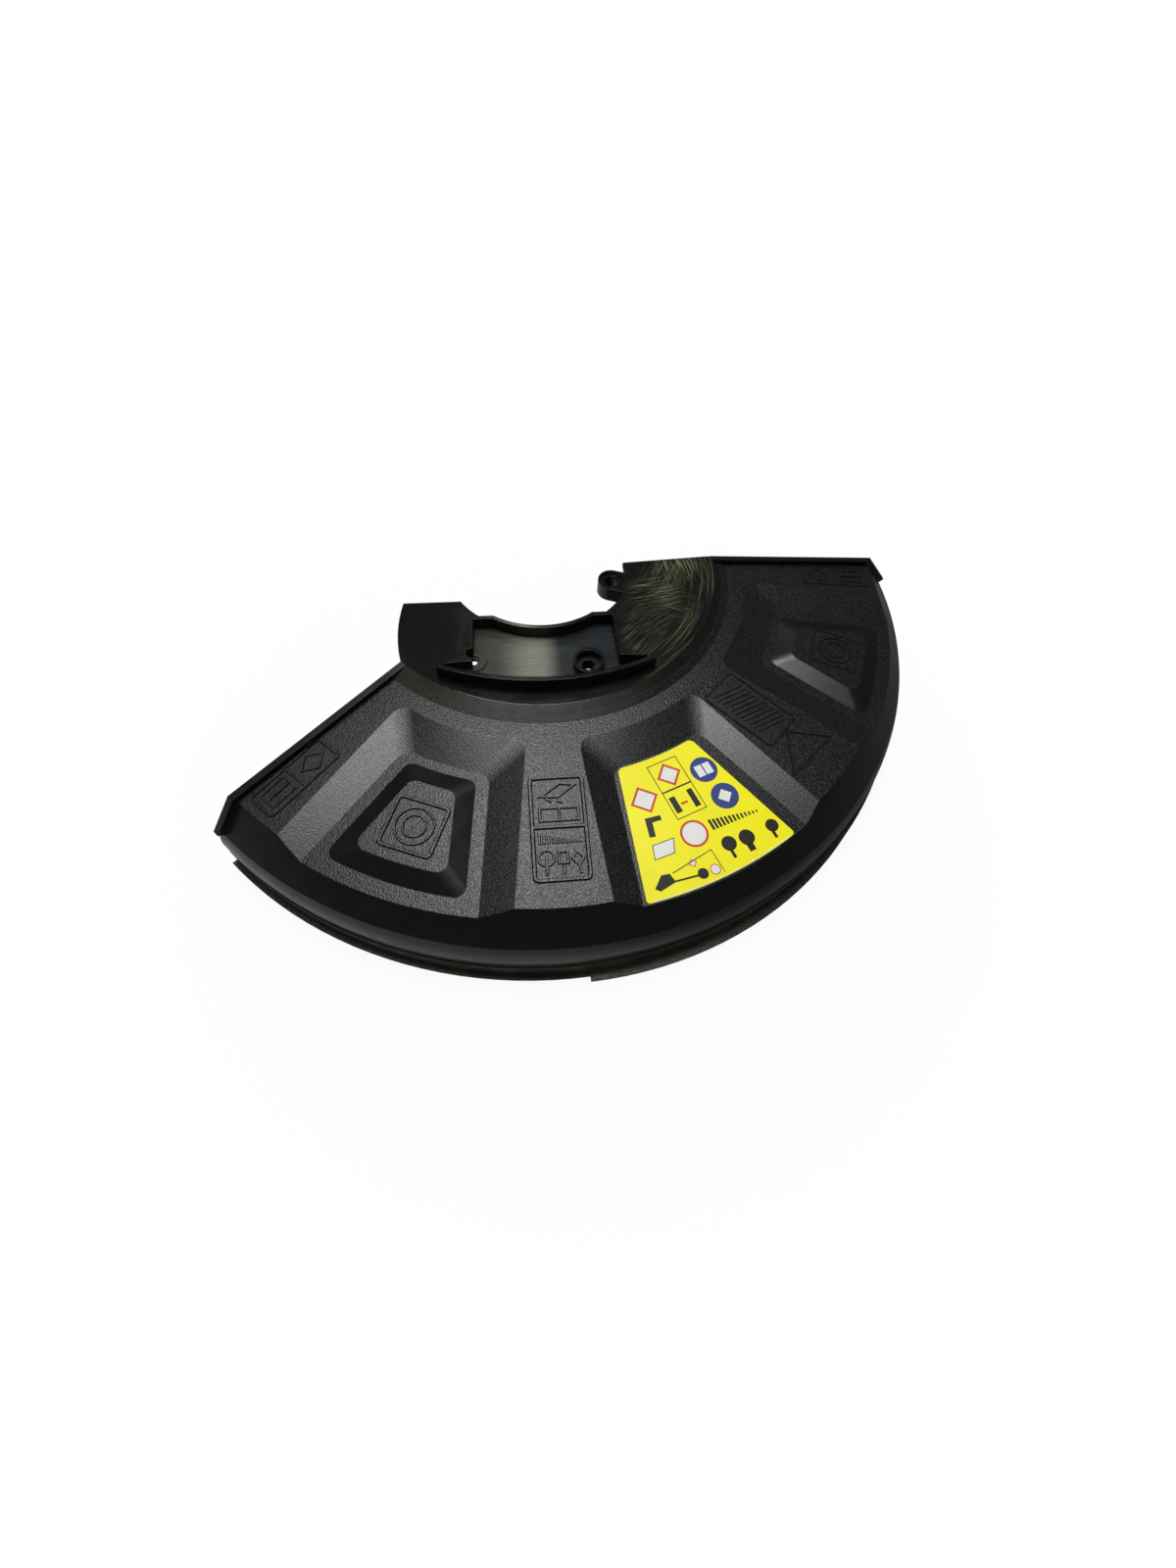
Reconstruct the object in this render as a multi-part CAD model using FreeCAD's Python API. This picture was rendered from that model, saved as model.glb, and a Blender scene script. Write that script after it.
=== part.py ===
import FreeCAD, Part
import math
import os

# Trimmer blade guard: a moulded skirt sector round the blade axis, with a hub deck that bolts to the
# gear case. Millimetres and degrees. Z is the blade axis, z = 0 is the lower edge of the rim, and the
# mounting bowl faces -Y.

V = FreeCAD.Vector

# Skirt sector
SECTOR_CENTRE = -68.0
SECTOR_SPAN = 138.4
WALL = 2.6

# Outer profile, from the hub out to the rim; the insets are measured from the rim
RIM_RADIUS = 200.0
HUB_RADIUS = 90.5
HUB_HEIGHT = 46.7
STEP_WIDTH = 8.2
STEP_HEIGHT = 43.5
SKIRT_INSET = 18.3
SKIRT_HEIGHT = 38.1
SHOULDER_INSET = 5.9
SHOULDER_HEIGHT = 25.6
LIP_INSET = 2.6
LIP_HEIGHT = 9.2
GROOVE_DEPTH = 0.9
GROOVE_HEIGHT = 1.4
BEAD_BULGE = 1.5

# Foot flange under the lip, wider along the front
FLANGE_THICKNESS = 1.2
FLANGE_EXTRA = 2.2
FLANGE_WIDE_START = -87.4
FLANGE_WIDE_END = -46.0

# Ribs along the two radial ends
RIB_THICKNESS = 3.2
RIB_RISE = 2.8

# Pockets pressed into the skirt
POCKET_PITCH = 44.5
POCKET_HALF_ANGLE = 16.75
POCKET_INNER_GAP = 8.5
POCKET_DEPTH = 3.5
POCKET_SIDE_WALL = 16.2
POCKET_INNER_WALL = 16.4
POCKET_CORNER = 6.5
LABEL_POCKET_SIDE_WALL = 13.5

# Raised pads in the two outer pockets
PAD_INNER_GAP = 4.2
PAD_OUTER_GAP = 2.5
PAD_SIDE_GAP = 5.5
PAD_HEIGHT = 3.0
PAD_WALL = 7.9
PAD_CORNER = 4.5

# Label film in the middle pocket, stuck on a little left of the pocket's middle
LABEL_THICKNESS = 0.3
LABEL_MARGIN = 4.1
LABEL_INNER_GAP = 0.9
LABEL_OVERRUN = 3.5
LABEL_INNER_CORNER = 3.0
LABEL_OUTER_CORNER = 1.5
LABEL_TURN = -0.8

# Hub deck: gear-case notch, the straight edges right of it and the plate left of it
NOTCH_RADIUS = 47.0
DECK_EDGE_X = 43.6
DECK_FAR_Y = -1.1
PLATE_FAR = -25.1
PLATE_LEFT = -67.2
PLATE_BULGE = 1.8

# Mounting bowl sunk into the deck
BOWL_FLOOR_HEIGHT = 40.2
BOWL_WALL = 2.0
BOWL_BACK_RADIUS = 42.7
BOWL_SHOULDER_Y = -35.2
BOWL_BACK_HALF_WIDTH = 33.8
BOWL_FRONT_HALF_WIDTH = 34.6
BOWL_CORNER_Y = -63.2
BOWL_NOOK_HALF_WIDTH = 47.5
BOWL_NOOK_Y = -64.0

# Crescent wall in front of the bowl
CRESCENT_RADIUS = 123.7
CRESCENT_FRONT_Y = -82.0
CRESCENT_HALF_WIDTH = 50.0
CRESCENT_TOP = 53.2
CRESCENT_WALL = 2.2

# Screw boss in the bowl
BOSS_X = 20.0
BOSS_Y = -63.2
BOSS_DIAMETER = 15.2
BOSS_TOP = 43.9
BOSS_BOTTOM = 33.4
BOSS_COUNTERBORE = 12.0
BOSS_COUNTERBORE_DEPTH = 4.0
BOSS_HOLE = 6.6

# Half-round relief in the bowl's left wall, over a small hole with a low collar in the bowl's floor
RELIEF_Y = -58.3
RELIEF_DIAMETER = 6.0
RELIEF_WALL = 2.0
RELIEF_HOLE = 4.0
RELIEF_COLLAR = 12.6
RELIEF_COLLAR_RISE = 0.8

# Lug on the notch's right side
LUG_RADIUS = 38.75
LUG_ANGLE = -20.1
LUG_DIAMETER = 14.0
LUG_HEIGHT = 7.6
LUG_COUNTERBORE = 11.4
LUG_COUNTERBORE_DEPTH = 1.2
LUG_HOLE = 7.0

# Overrun that lets a cutter pass clear of the face it cuts
CLEAR = 5.0

STEP_RADIUS = HUB_RADIUS + STEP_WIDTH
SKIRT_RADIUS = RIM_RADIUS - SKIRT_INSET
SHOULDER_RADIUS = RIM_RADIUS - SHOULDER_INSET
LIP_RADIUS = RIM_RADIUS - LIP_INSET
POCKET_INNER_RADIUS = STEP_RADIUS + POCKET_INNER_GAP
POCKET_FLOOR_INNER = POCKET_INNER_RADIUS + POCKET_INNER_WALL
SKIRT_SLOPE = math.atan2(STEP_HEIGHT - SKIRT_HEIGHT, SKIRT_RADIUS - STEP_RADIUS)
SKIRT_APEX = STEP_HEIGHT + STEP_RADIUS * math.tan(SKIRT_SLOPE)
SECTOR_START = SECTOR_CENTRE - SECTOR_SPAN / 2
SECTOR_END = SECTOR_CENTRE + SECTOR_SPAN / 2
LABEL_POCKET_CENTRE = SECTOR_CENTRE
PAD_POCKET_CENTRES = [SECTOR_CENTRE - POCKET_PITCH, SECTOR_CENTRE + POCKET_PITCH]


def polar(radius, angle, z=0.0):
    """Point at a radius and an angle in degrees."""
    return V(radius * math.cos(math.radians(angle)), radius * math.sin(math.radians(angle)), z)


def arc(start, middle, end):
    return Part.Arc(start, middle, end).toShape()


def polygon_wire(points):
    return Part.makePolygon(list(points) + [points[0]])


def prism(wire, bottom, top):
    """Upright solid on a flat wire drawn at z = 0."""
    face = Part.Face(wire)
    face.translate(V(0, 0, bottom))
    return face.extrude(V(0, 0, top - bottom))


def cylinder(diameter, bottom, top, x, y):
    return Part.makeCylinder(diameter / 2, top - bottom, V(x, y, bottom))


def offset_path(path, distance):
    """The (radius, height) path moved sideways, outwards for a positive distance, with mitred corners."""
    normals = []
    for (r0, z0), (r1, z1) in zip(path, path[1:]):
        length = math.hypot(r1 - r0, z1 - z0)
        normals.append(((z0 - z1) / length, (r1 - r0) / length))
    moved = []
    for k, (r, z) in enumerate(path):
        n0 = normals[max(k - 1, 0)]
        n1 = normals[min(k, len(normals) - 1)]
        share = distance / (1 + n0[0] * n1[0] + n0[1] * n1[1])
        moved.append((r + (n0[0] + n1[0]) * share, z + (n0[1] + n1[1]) * share))
    return moved


def revolve(wire):
    """Sector solid swept by a wire in the XZ plane."""
    face = Part.Face(wire)
    face.rotate(V(0, 0, 0), V(0, 0, 1), SECTOR_START)
    return face.revolve(V(0, 0, 0), V(0, 0, 1), SECTOR_SPAN)


def skin_path():
    """Main corners of the outer skin, without the bead and the groove."""
    return [
        (NOTCH_RADIUS, HUB_HEIGHT),
        (HUB_RADIUS, HUB_HEIGHT),
        (STEP_RADIUS, STEP_HEIGHT),
        (SKIRT_RADIUS, SKIRT_HEIGHT),
        (SHOULDER_RADIUS, SHOULDER_HEIGHT),
        (LIP_RADIUS, LIP_HEIGHT),
        (LIP_RADIUS, 0.0),
    ]


def outer_block():
    """Everything under the outer skin, down to the rim."""
    skin = [V(r, 0, z) for r, z in skin_path()]
    shoulder = skin[4]
    groove_top = V(LIP_RADIUS - GROOVE_DEPTH, 0, LIP_HEIGHT + GROOVE_HEIGHT)
    groove_low = V(LIP_RADIUS - GROOVE_DEPTH, 0, LIP_HEIGHT + GROOVE_HEIGHT / 2)
    bead_middle = (shoulder + groove_top) * 0.5 + V(BEAD_BULGE, 0, 0)
    base = V(NOTCH_RADIUS, 0, 0)
    edges = Part.makePolygon(skin[:5]).Edges
    edges.append(arc(shoulder, bead_middle, groove_top))
    edges += Part.makePolygon([groove_top, groove_low, skin[5], skin[6], base, skin[0]]).Edges
    return revolve(Part.Wire(edges))


def inner_block():
    """The hollow under the skin, before the pockets reach into it."""
    path = offset_path(skin_path(), -WALL)
    lowest = -CLEAR
    points = [V(path[0][0] - CLEAR, 0, path[0][1])]
    points += [V(r, 0, z) for r, z in path[:-1]]
    points.append(V(path[-1][0], 0, lowest))
    points.append(V(path[0][0] - CLEAR, 0, lowest))
    return revolve(polygon_wire(points))


def on_skirt(shape, angle):
    """Lays a shape, drawn with z = 0 as the skirt's face and X radial, on the skirt at an angle."""
    shape.rotate(V(0, 0, 0), V(0, 1, 0), math.degrees(SKIRT_SLOPE))
    shape.translate(V(0, 0, SKIRT_APEX))
    shape.rotate(V(0, 0, 0), V(0, 0, 1), angle)
    return shape


def sector_wire(inner, outer, side_inset, inner_corner, outer_corner, z):
    """Pocket-shaped outline: two arcs joined by lines parallel to the pocket's radial edges, with the
    corners rounded to the given radii."""
    def on_side(along, inset, side):
        edge = math.radians(POCKET_HALF_ANGLE)
        x = along * math.cos(edge) + inset * math.sin(edge)
        y = along * math.sin(edge) - inset * math.cos(edge)
        return V(x, side * y, z)

    def rounding(radius, centre_radius, corner, side):
        """Ends and middle of the corner between one arc and one side line."""
        along = math.sqrt(centre_radius ** 2 - (side_inset + corner) ** 2)
        centre = on_side(along, side_inset + corner, side)
        on_line = on_side(along, side_inset, side)
        on_arc = V(centre.x * radius / centre_radius, centre.y * radius / centre_radius, z)
        outwards = (on_line - centre) + (on_arc - centre)
        return on_arc, centre + outwards.normalize() * corner, on_line

    in_left, in_right = [rounding(inner, inner + inner_corner, inner_corner, side) for side in (-1, 1)]
    out_left, out_right = [rounding(outer, outer - outer_corner, outer_corner, side) for side in (-1, 1)]
    return Part.Wire([
        arc(in_right[0], V(inner, 0, z), in_left[0]),
        arc(*in_left),
        Part.makeLine(in_left[2], out_left[2]),
        arc(*out_left[::-1]),
        arc(out_left[0], V(outer, 0, z), out_right[0]),
        arc(*out_right),
        Part.makeLine(out_right[2], in_right[2]),
        arc(*in_right[::-1]),
    ])


def pocket_cutter(angle, side_wall, skin):
    """Tapered cutter of one pocket; skin moves its floor and its walls outwards by that thickness."""
    outer = RIM_RADIUS + CLEAR
    side_run = side_wall / POCKET_DEPTH
    inner_run = POCKET_INNER_WALL / POCKET_DEPTH
    side_shift = skin * math.hypot(1, side_run)
    inner_shift = skin * math.hypot(1, inner_run)

    def section(z):
        side_inset = -z * side_run - side_shift
        inner_radius = POCKET_INNER_RADIUS - z * inner_run - inner_shift
        return sector_wire(inner_radius, outer, side_inset, POCKET_CORNER + side_shift, POCKET_CORNER, z)

    solid = Part.makeLoft([section(-POCKET_DEPTH - skin), section(CLEAR)], True, True)
    return on_skirt(solid, angle)


def pad(angle, skin):
    """Raised pad of a pocket floor; skin shrinks it to the hollow on its underside."""
    run = PAD_WALL / PAD_HEIGHT
    shift = skin * (math.hypot(1, run) - run)

    def section(rise):
        inset = rise * run + shift
        inner = POCKET_FLOOR_INNER + PAD_INNER_GAP + inset
        outer = SKIRT_RADIUS - PAD_OUTER_GAP - inset
        side_inset = POCKET_SIDE_WALL + PAD_SIDE_GAP + inset
        z = rise - POCKET_DEPTH - skin
        return sector_wire(inner, outer, side_inset, PAD_CORNER, PAD_CORNER, z)

    solid = Part.makeLoft([section(-WALL / 2), section(PAD_HEIGHT)], True, True)
    return on_skirt(solid, angle)


def end_rib(angle, side):
    """Upstanding rib along one radial end; side is 1 where the sector lies at larger angles."""
    hub_end = (HUB_RADIUS, SKIRT_APEX - HUB_RADIUS * math.tan(SKIRT_SLOPE))
    path = [hub_end] + skin_path()[3:5]
    outline = offset_path(path, RIB_RISE) + offset_path(path, -WALL)[::-1]
    face = Part.Face(polygon_wire([V(r, 0, z) for r, z in outline]))
    rib = face.extrude(V(0, side * RIB_THICKNESS, 0))
    rib.rotate(V(0, 0, 0), V(0, 0, 1), angle)
    return rib


def left_plate():
    """Deck plate that runs on past the skirt's left end."""
    corner_y = -math.sqrt(HUB_RADIUS ** 2 - PLATE_LEFT ** 2)
    far_left = V(PLATE_LEFT, PLATE_FAR, 0)
    near_left = V(PLATE_LEFT, corner_y, 0)
    left_middle = V(PLATE_LEFT - PLATE_BULGE, (PLATE_FAR + corner_y) / 2, 0)
    near_right = polar(HUB_RADIUS - WALL, SECTOR_START + math.degrees(RIB_THICKNESS / HUB_RADIUS))
    notch_right = polar(NOTCH_RADIUS, SECTOR_START + math.degrees(RIB_THICKNESS / NOTCH_RADIUS))
    far_right = V(-math.sqrt(NOTCH_RADIUS ** 2 - PLATE_FAR ** 2), PLATE_FAR, 0)
    notch_angle = (math.degrees(math.atan2(far_right.y, far_right.x)) + SECTOR_START) / 2
    edges = [
        Part.makeLine(far_right, far_left),
        arc(far_left, left_middle, near_left),
        Part.makeLine(near_left, near_right),
        Part.makeLine(near_right, notch_right),
        arc(notch_right, polar(NOTCH_RADIUS, notch_angle), far_right),
    ]
    return prism(Part.Wire(edges), HUB_HEIGHT - WALL, HUB_HEIGHT)


def bowl_wire(grow):
    """Outline of the bowl's hollow; grow moves it outwards to the bowl's outer face."""
    back = BOWL_BACK_RADIUS + BOWL_WALL - grow
    shoulder_y = BOWL_SHOULDER_Y - BOWL_WALL + grow
    shoulder_x = math.sqrt(back ** 2 - shoulder_y ** 2)
    front_radius = CRESCENT_RADIUS - CRESCENT_WALL + grow
    centre_y = CRESCENT_FRONT_Y + CRESCENT_RADIUS
    nook_x = BOWL_NOOK_HALF_WIDTH + grow
    front_y = centre_y - math.sqrt(front_radius ** 2 - nook_x ** 2)
    right = [
        V(shoulder_x, shoulder_y, 0),
        V(BOWL_BACK_HALF_WIDTH + grow, shoulder_y, 0),
        V(BOWL_FRONT_HALF_WIDTH + grow, BOWL_CORNER_Y + grow, 0),
        V(nook_x, BOWL_NOOK_Y + grow, 0),
        V(nook_x, front_y, 0),
    ]
    left = [V(-p.x, p.y, 0) for p in right]
    edges = Part.makePolygon(right).Edges
    edges.append(arc(right[-1], V(0, centre_y - front_radius, 0), left[-1]))
    edges += Part.makePolygon(left[::-1]).Edges
    edges.append(arc(left[0], V(0, -back, 0), right[0]))
    return Part.Wire(edges)


def bowl_half_width(y):
    """Half the width of the bowl's hollow at a distance y in front of the blade axis."""
    back_y = BOWL_SHOULDER_Y - BOWL_WALL
    share = (y - back_y) / (BOWL_CORNER_Y - back_y)
    return BOWL_BACK_HALF_WIDTH + share * (BOWL_FRONT_HALF_WIDTH - BOWL_BACK_HALF_WIDTH)


def crescent():
    """Thin curved wall that stands in front of the bowl."""
    centre = V(0, CRESCENT_FRONT_Y + CRESCENT_RADIUS, 0)
    half = math.degrees(math.asin(CRESCENT_HALF_WIDTH / CRESCENT_RADIUS))
    inner = CRESCENT_RADIUS - CRESCENT_WALL

    def at(radius, angle):
        return centre + polar(radius, angle - 90)

    edges = [
        arc(at(CRESCENT_RADIUS, -half), at(CRESCENT_RADIUS, 0), at(CRESCENT_RADIUS, half)),
        Part.makeLine(at(CRESCENT_RADIUS, half), at(inner, half)),
        arc(at(inner, half), at(inner, 0), at(inner, -half)),
        Part.makeLine(at(inner, -half), at(CRESCENT_RADIUS, -half)),
    ]
    return prism(Part.Wire(edges), BOWL_FLOOR_HEIGHT - BOWL_WALL, CRESCENT_TOP)


def lug():
    """Round lug with a neck that runs out into the deck."""
    bottom = HUB_HEIGHT - LUG_HEIGHT
    centre = polar(LUG_RADIUS, LUG_ANGLE)
    neck_length = NOTCH_RADIUS + WALL - LUG_RADIUS
    neck = Part.makeBox(neck_length, LUG_DIAMETER, LUG_HEIGHT, V(LUG_RADIUS, -LUG_DIAMETER / 2, bottom))
    neck.rotate(V(0, 0, 0), V(0, 0, 1), LUG_ANGLE)
    return cylinder(LUG_DIAMETER, bottom, HUB_HEIGHT, centre.x, centre.y).fuse(neck)


def deck_edge():
    """Strip that gives the right plate a straight edge between the sector's end and the lug."""
    root = NOTCH_RADIUS + WALL
    slope = math.tan(math.radians(SECTOR_END))
    lug_y = polar(LUG_RADIUS, LUG_ANGLE).y
    corners = [(DECK_EDGE_X, DECK_EDGE_X * slope), (root, root * slope), (root, lug_y), (DECK_EDGE_X, lug_y)]
    return prism(polygon_wire([V(x, y, 0) for x, y in corners]), HUB_HEIGHT - WALL, HUB_HEIGHT)


def deck_trim():
    """Cutter of the right plate's far edge, which leaves the sector's end plane towards the notch."""
    end = polar(HUB_RADIUS - RIB_THICKNESS, SECTOR_END)
    notch_x = DECK_EDGE_X - CLEAR
    edge = [V(notch_x, DECK_FAR_Y, 0), V(DECK_EDGE_X, DECK_FAR_Y, 0), end]
    past = [V(end.x, end.y + CLEAR, 0), V(notch_x, end.y + CLEAR, 0)]
    return prism(polygon_wire(edge + past), HUB_HEIGHT - WALL - CLEAR, HUB_HEIGHT + CLEAR)


def flange(outer, start, end):
    """Length of the foot flange, from inside the lip out to a radius, that runs out to the rim at its end."""
    inner = LIP_RADIUS - WALL / 2
    middle = (start + end) / 2
    edges = [
        arc(polar(outer, start), polar(outer, middle), polar(RIM_RADIUS, end)),
        Part.makeLine(polar(RIM_RADIUS, end), polar(inner, end)),
        arc(polar(inner, end), polar(inner, middle), polar(inner, start)),
        Part.makeLine(polar(inner, start), polar(outer, start)),
    ]
    return prism(Part.Wire(edges), 0.0, FLANGE_THICKNESS)


def guard_moulding():
    outer = outer_block()
    hollow = inner_block()
    pockets = [(LABEL_POCKET_CENTRE, LABEL_POCKET_SIDE_WALL)]
    pockets += [(centre, POCKET_SIDE_WALL) for centre in PAD_POCKET_CENTRES]
    for centre, side_wall in pockets:
        outer = outer.cut(pocket_cutter(centre, side_wall, 0.0))
        hollow = hollow.cut(pocket_cutter(centre, side_wall, WALL))
    for centre in PAD_POCKET_CENTRES:
        outer = outer.fuse(pad(centre, 0.0))
        hollow = hollow.fuse(pad(centre, WALL))
    body = outer.cut(hollow)
    bowl_bottom = BOWL_FLOOR_HEIGHT - BOWL_WALL
    bowl = prism(bowl_wire(BOWL_WALL), bowl_bottom, HUB_HEIGHT)
    additions = [
        end_rib(SECTOR_START, 1),
        end_rib(SECTOR_END, -1),
        left_plate(),
        deck_edge(),
        bowl,
        crescent(),
        lug(),
        flange(RIM_RADIUS, SECTOR_START, SECTOR_END),
        flange(RIM_RADIUS + FLANGE_EXTRA, FLANGE_WIDE_START, FLANGE_WIDE_END),
    ]
    relief_x = -bowl_half_width(RELIEF_Y)
    additions.append(cylinder(RELIEF_DIAMETER + 2 * RELIEF_WALL, bowl_bottom, HUB_HEIGHT, relief_x, RELIEF_Y))
    body = body.fuse(additions)
    body = body.cut([prism(bowl_wire(0.0), BOWL_FLOOR_HEIGHT, CRESCENT_TOP + CLEAR), deck_trim()])
    collar_top = BOWL_FLOOR_HEIGHT + RELIEF_COLLAR_RISE
    collar = cylinder(RELIEF_COLLAR, bowl_bottom, collar_top, relief_x, RELIEF_Y).common(bowl)
    body = body.fuse([cylinder(BOSS_DIAMETER, BOSS_BOTTOM, BOSS_TOP, BOSS_X, BOSS_Y), collar])
    lug_at = polar(LUG_RADIUS, LUG_ANGLE)
    lug_seat = HUB_HEIGHT - LUG_COUNTERBORE_DEPTH
    holes = [
        cylinder(BOSS_COUNTERBORE, BOSS_TOP - BOSS_COUNTERBORE_DEPTH, BOSS_TOP + CLEAR, BOSS_X, BOSS_Y),
        cylinder(BOSS_HOLE, BOSS_BOTTOM - CLEAR, BOSS_TOP, BOSS_X, BOSS_Y),
        cylinder(LUG_COUNTERBORE, lug_seat, HUB_HEIGHT + CLEAR, lug_at.x, lug_at.y),
        cylinder(LUG_HOLE, HUB_HEIGHT - LUG_HEIGHT - CLEAR, lug_seat, lug_at.x, lug_at.y),
        cylinder(RELIEF_DIAMETER, BOWL_FLOOR_HEIGHT, HUB_HEIGHT + CLEAR, relief_x, RELIEF_Y),
        cylinder(RELIEF_HOLE, bowl_bottom - CLEAR, BOWL_FLOOR_HEIGHT, relief_x, RELIEF_Y),
    ]
    return body.cut(holes).removeSplitter()


def label_film():
    inner = POCKET_FLOOR_INNER + LABEL_INNER_GAP
    outer = SKIRT_RADIUS + LABEL_OVERRUN
    side_inset = LABEL_POCKET_SIDE_WALL + LABEL_MARGIN
    outline = sector_wire(inner, outer, side_inset, LABEL_INNER_CORNER, LABEL_OUTER_CORNER, -POCKET_DEPTH)
    film = Part.Face(outline).extrude(V(0, 0, LABEL_THICKNESS))
    film.rotate(V(0, 0, 0), V(0, 0, 1), LABEL_TURN)
    return on_skirt(film, LABEL_POCKET_CENTRE)


os.makedirs("parts", exist_ok=True)
nodes = {"guard_moulding": guard_moulding(), "label_film": label_film()}
for name, shape in nodes.items():
    print(name, "valid", shape.isValid(), "solids", len(shape.Solids), "volume", round(shape.Volume))
    shape.exportStep(f"parts/{name}.step")
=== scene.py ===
import math

import bpy
from bpy.props import FloatProperty, FloatVectorProperty, PointerProperty
from mathutils import Matrix, Vector
from mathutils.bvhtree import BVHTree


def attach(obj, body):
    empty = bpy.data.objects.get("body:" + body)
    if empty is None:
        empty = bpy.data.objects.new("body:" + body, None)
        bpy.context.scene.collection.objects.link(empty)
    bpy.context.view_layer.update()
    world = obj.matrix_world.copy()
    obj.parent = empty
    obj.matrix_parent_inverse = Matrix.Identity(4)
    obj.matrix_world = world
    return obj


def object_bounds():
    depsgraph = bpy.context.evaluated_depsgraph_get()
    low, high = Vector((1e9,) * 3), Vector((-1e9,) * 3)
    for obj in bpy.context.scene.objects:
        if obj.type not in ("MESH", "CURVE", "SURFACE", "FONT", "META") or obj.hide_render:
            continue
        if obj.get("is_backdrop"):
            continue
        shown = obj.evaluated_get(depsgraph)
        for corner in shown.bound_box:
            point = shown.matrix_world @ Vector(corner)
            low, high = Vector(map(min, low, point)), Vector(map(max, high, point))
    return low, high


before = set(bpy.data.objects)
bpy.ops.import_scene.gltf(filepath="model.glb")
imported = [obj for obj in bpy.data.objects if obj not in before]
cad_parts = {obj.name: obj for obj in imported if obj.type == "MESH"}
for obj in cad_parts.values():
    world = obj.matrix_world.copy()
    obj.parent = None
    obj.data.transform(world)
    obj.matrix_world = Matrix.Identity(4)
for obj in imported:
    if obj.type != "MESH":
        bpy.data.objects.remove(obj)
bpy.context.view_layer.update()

bl_info = {
    "name": "Trimmer Blade Guard Looks",
    "version": (1, 0, 0),
    "blender": (4, 5, 0),
    "location": "3D View > Sidebar > Guard",
    "description": "Finishes, moulded marks, label print and studio of a trimmer blade guard",
    "category": "Object",
}

BODY = "root"
MM = 0.001

# Where the spokes, pockets and label lie round the blade axis, in degrees
SECTOR_CENTRE = -68.0
POCKET_PITCH = 44.5
POCKET_HALF_ANGLE = 16.75
SPOKE_OFFSET = POCKET_PITCH / 2
END_MARGIN_OFFSET = 65.1
LABEL_ANGLE = -68.8

# Zones of the moulding, in metres; the skirt's fall is per metre outwards
HUB_EDGE = 90.8 * MM
STEP_EDGE = 98.9 * MM
SKIRT_APEX = 49.92 * MM
SKIRT_FALL = 0.06506
RIB_FOOT = 1.2 * MM
PAD_INNER = 123.0 * MM
PAD_EDGE = 18.6 * MM
LIP_TOP = 9.6 * MM
LIP_ZONE = 190.0 * MM
BOWL_TOP = 41.3 * MM

# Upward part of a face's normal that parts tops from walls; a pair is where a mask starts and ends
STEEP_RISE = (0.72, 0.84)
WALL_RISE = (0.965, 0.992)
PAD_TOP_RISE = 0.985
DECK_RISE = 0.9
LINE_TOP_RISE = (0.90, 0.97)

# Where each fade on the moulding starts and ends, in metres along X or outwards
PLATE_FADE = (34.0 * MM, 42.0 * MM)
EDGE_WIPE_FADE = (34.0 * MM, 62.0 * MM)
EDGE_WIPE_RADII = (72.0 * MM, 84.0 * MM)
# Fade of the painted light on the hub's step, along X
STEP_FADE = (15.0 * MM, 60.0 * MM)
# Where the bowl's painted reflection band rises and where it falls, along X
BAND_START = (-25.0 * MM, -5.0 * MM)
BAND_END = (-3.0 * MM, 8.0 * MM)

# Painted light on the hub's step, painted reflections in the bowl, and the tints of the dust
STEP_PAINTED_LIGHT = (0.034, 0.034, 0.025)
BOWL_BAND_REFLECTION = (0.36, 0.365, 0.31)
BOWL_LEFT_REFLECTION = (0.10, 0.105, 0.075)
BOWL_RIGHT_REFLECTION = (0.045, 0.055, 0.068)
DUST_TINT = (0.30, 0.29, 0.27)
LABEL_DUST_TINT = (0.5, 0.48, 0.42)

# Noise levels between which each effect's mask rises from none to full
SPECK_LEVELS = (0.22, 0.50)
STROKE_LEVELS = (0.42, 0.68)
PATCH_LEVELS = (0.40, 0.66)
MOTE_LEVELS = (0.70, 0.82)

# What handling and the specks add to the roughness, and the roughness of wiped film and of the lines' sides
SMOOTH_SHEEN = 0.06
HUB_SHEEN = 0.05
LABEL_SHEEN = 0.08
SPECK_GRIT = 0.10
WIPED_ROUGHNESS = 0.4
LINE_SIDE_ROUGHNESS = 0.9

# Refraction of the black plastic, reflection of the label and depth of the label's mottling in metres
PLASTIC_IOR = 1.42
LABEL_REFLECTION = 0.22
LABEL_RELIEF = 0.008 * MM

# Strengths as shares: painted shade on the lines' sides, grain on walls, brushing, wiping, painted light on
# the step, and dust
LINE_SIDE_SHADE = 0.25
WALL_GRAIN = 0.4
BRUSHED_RELIEF = 0.25
EDGE_WIPE_STRENGTH = 0.40
STEP_STRENGTH = 0.5
DUST_STRENGTH = 0.06
LABEL_DUST_STRENGTH = 0.04

# Shade of the mottling and roughness of the label's film and of its inks
LABEL_LOOK = (0.93, 0.34)
INK_LOOK = (0.85, 0.40)

# Corner radius of a moulded frame in millimetres, longest run of a line in metres, sharpest mitre
FRAME_CORNER = 1.6
LINE_RUN = 4.0 * MM
SHARPEST_MITRE = 0.2

# Section of a moulded line: across and up, as shares of its width and rise
LINE_SECTION = ((-0.5, -0.2), (-0.2, 1.0), (0.2, 1.0), (0.5, -0.2))

# Floor, in metres: half its side, the middle and fade of the shadow, and the fade of its reflection along X
FLOOR_HALF = 4.0
SHADOW_CENTRE = (0.02, -0.08)
SHADOW_FADE = (0.16, 0.25)
REFLECTION_FADE = (-0.02, 0.10)

# How much dimmer glossy plastic sees the floor on the left and on the right, and the tint that it sees there
REFLECTION_DIMMING = (0.30, 0.85)
REFLECTION_TINT = (0.05, 0.05, 0.045)

# Shares: paper's darker fibres, the camera's white within the shadow, and the room that glossy plastic sees
FIBRE_SHADE = 0.985
SHADOW_WHITE = 0.92
GLOSSY_ROOM = 0.22

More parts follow.
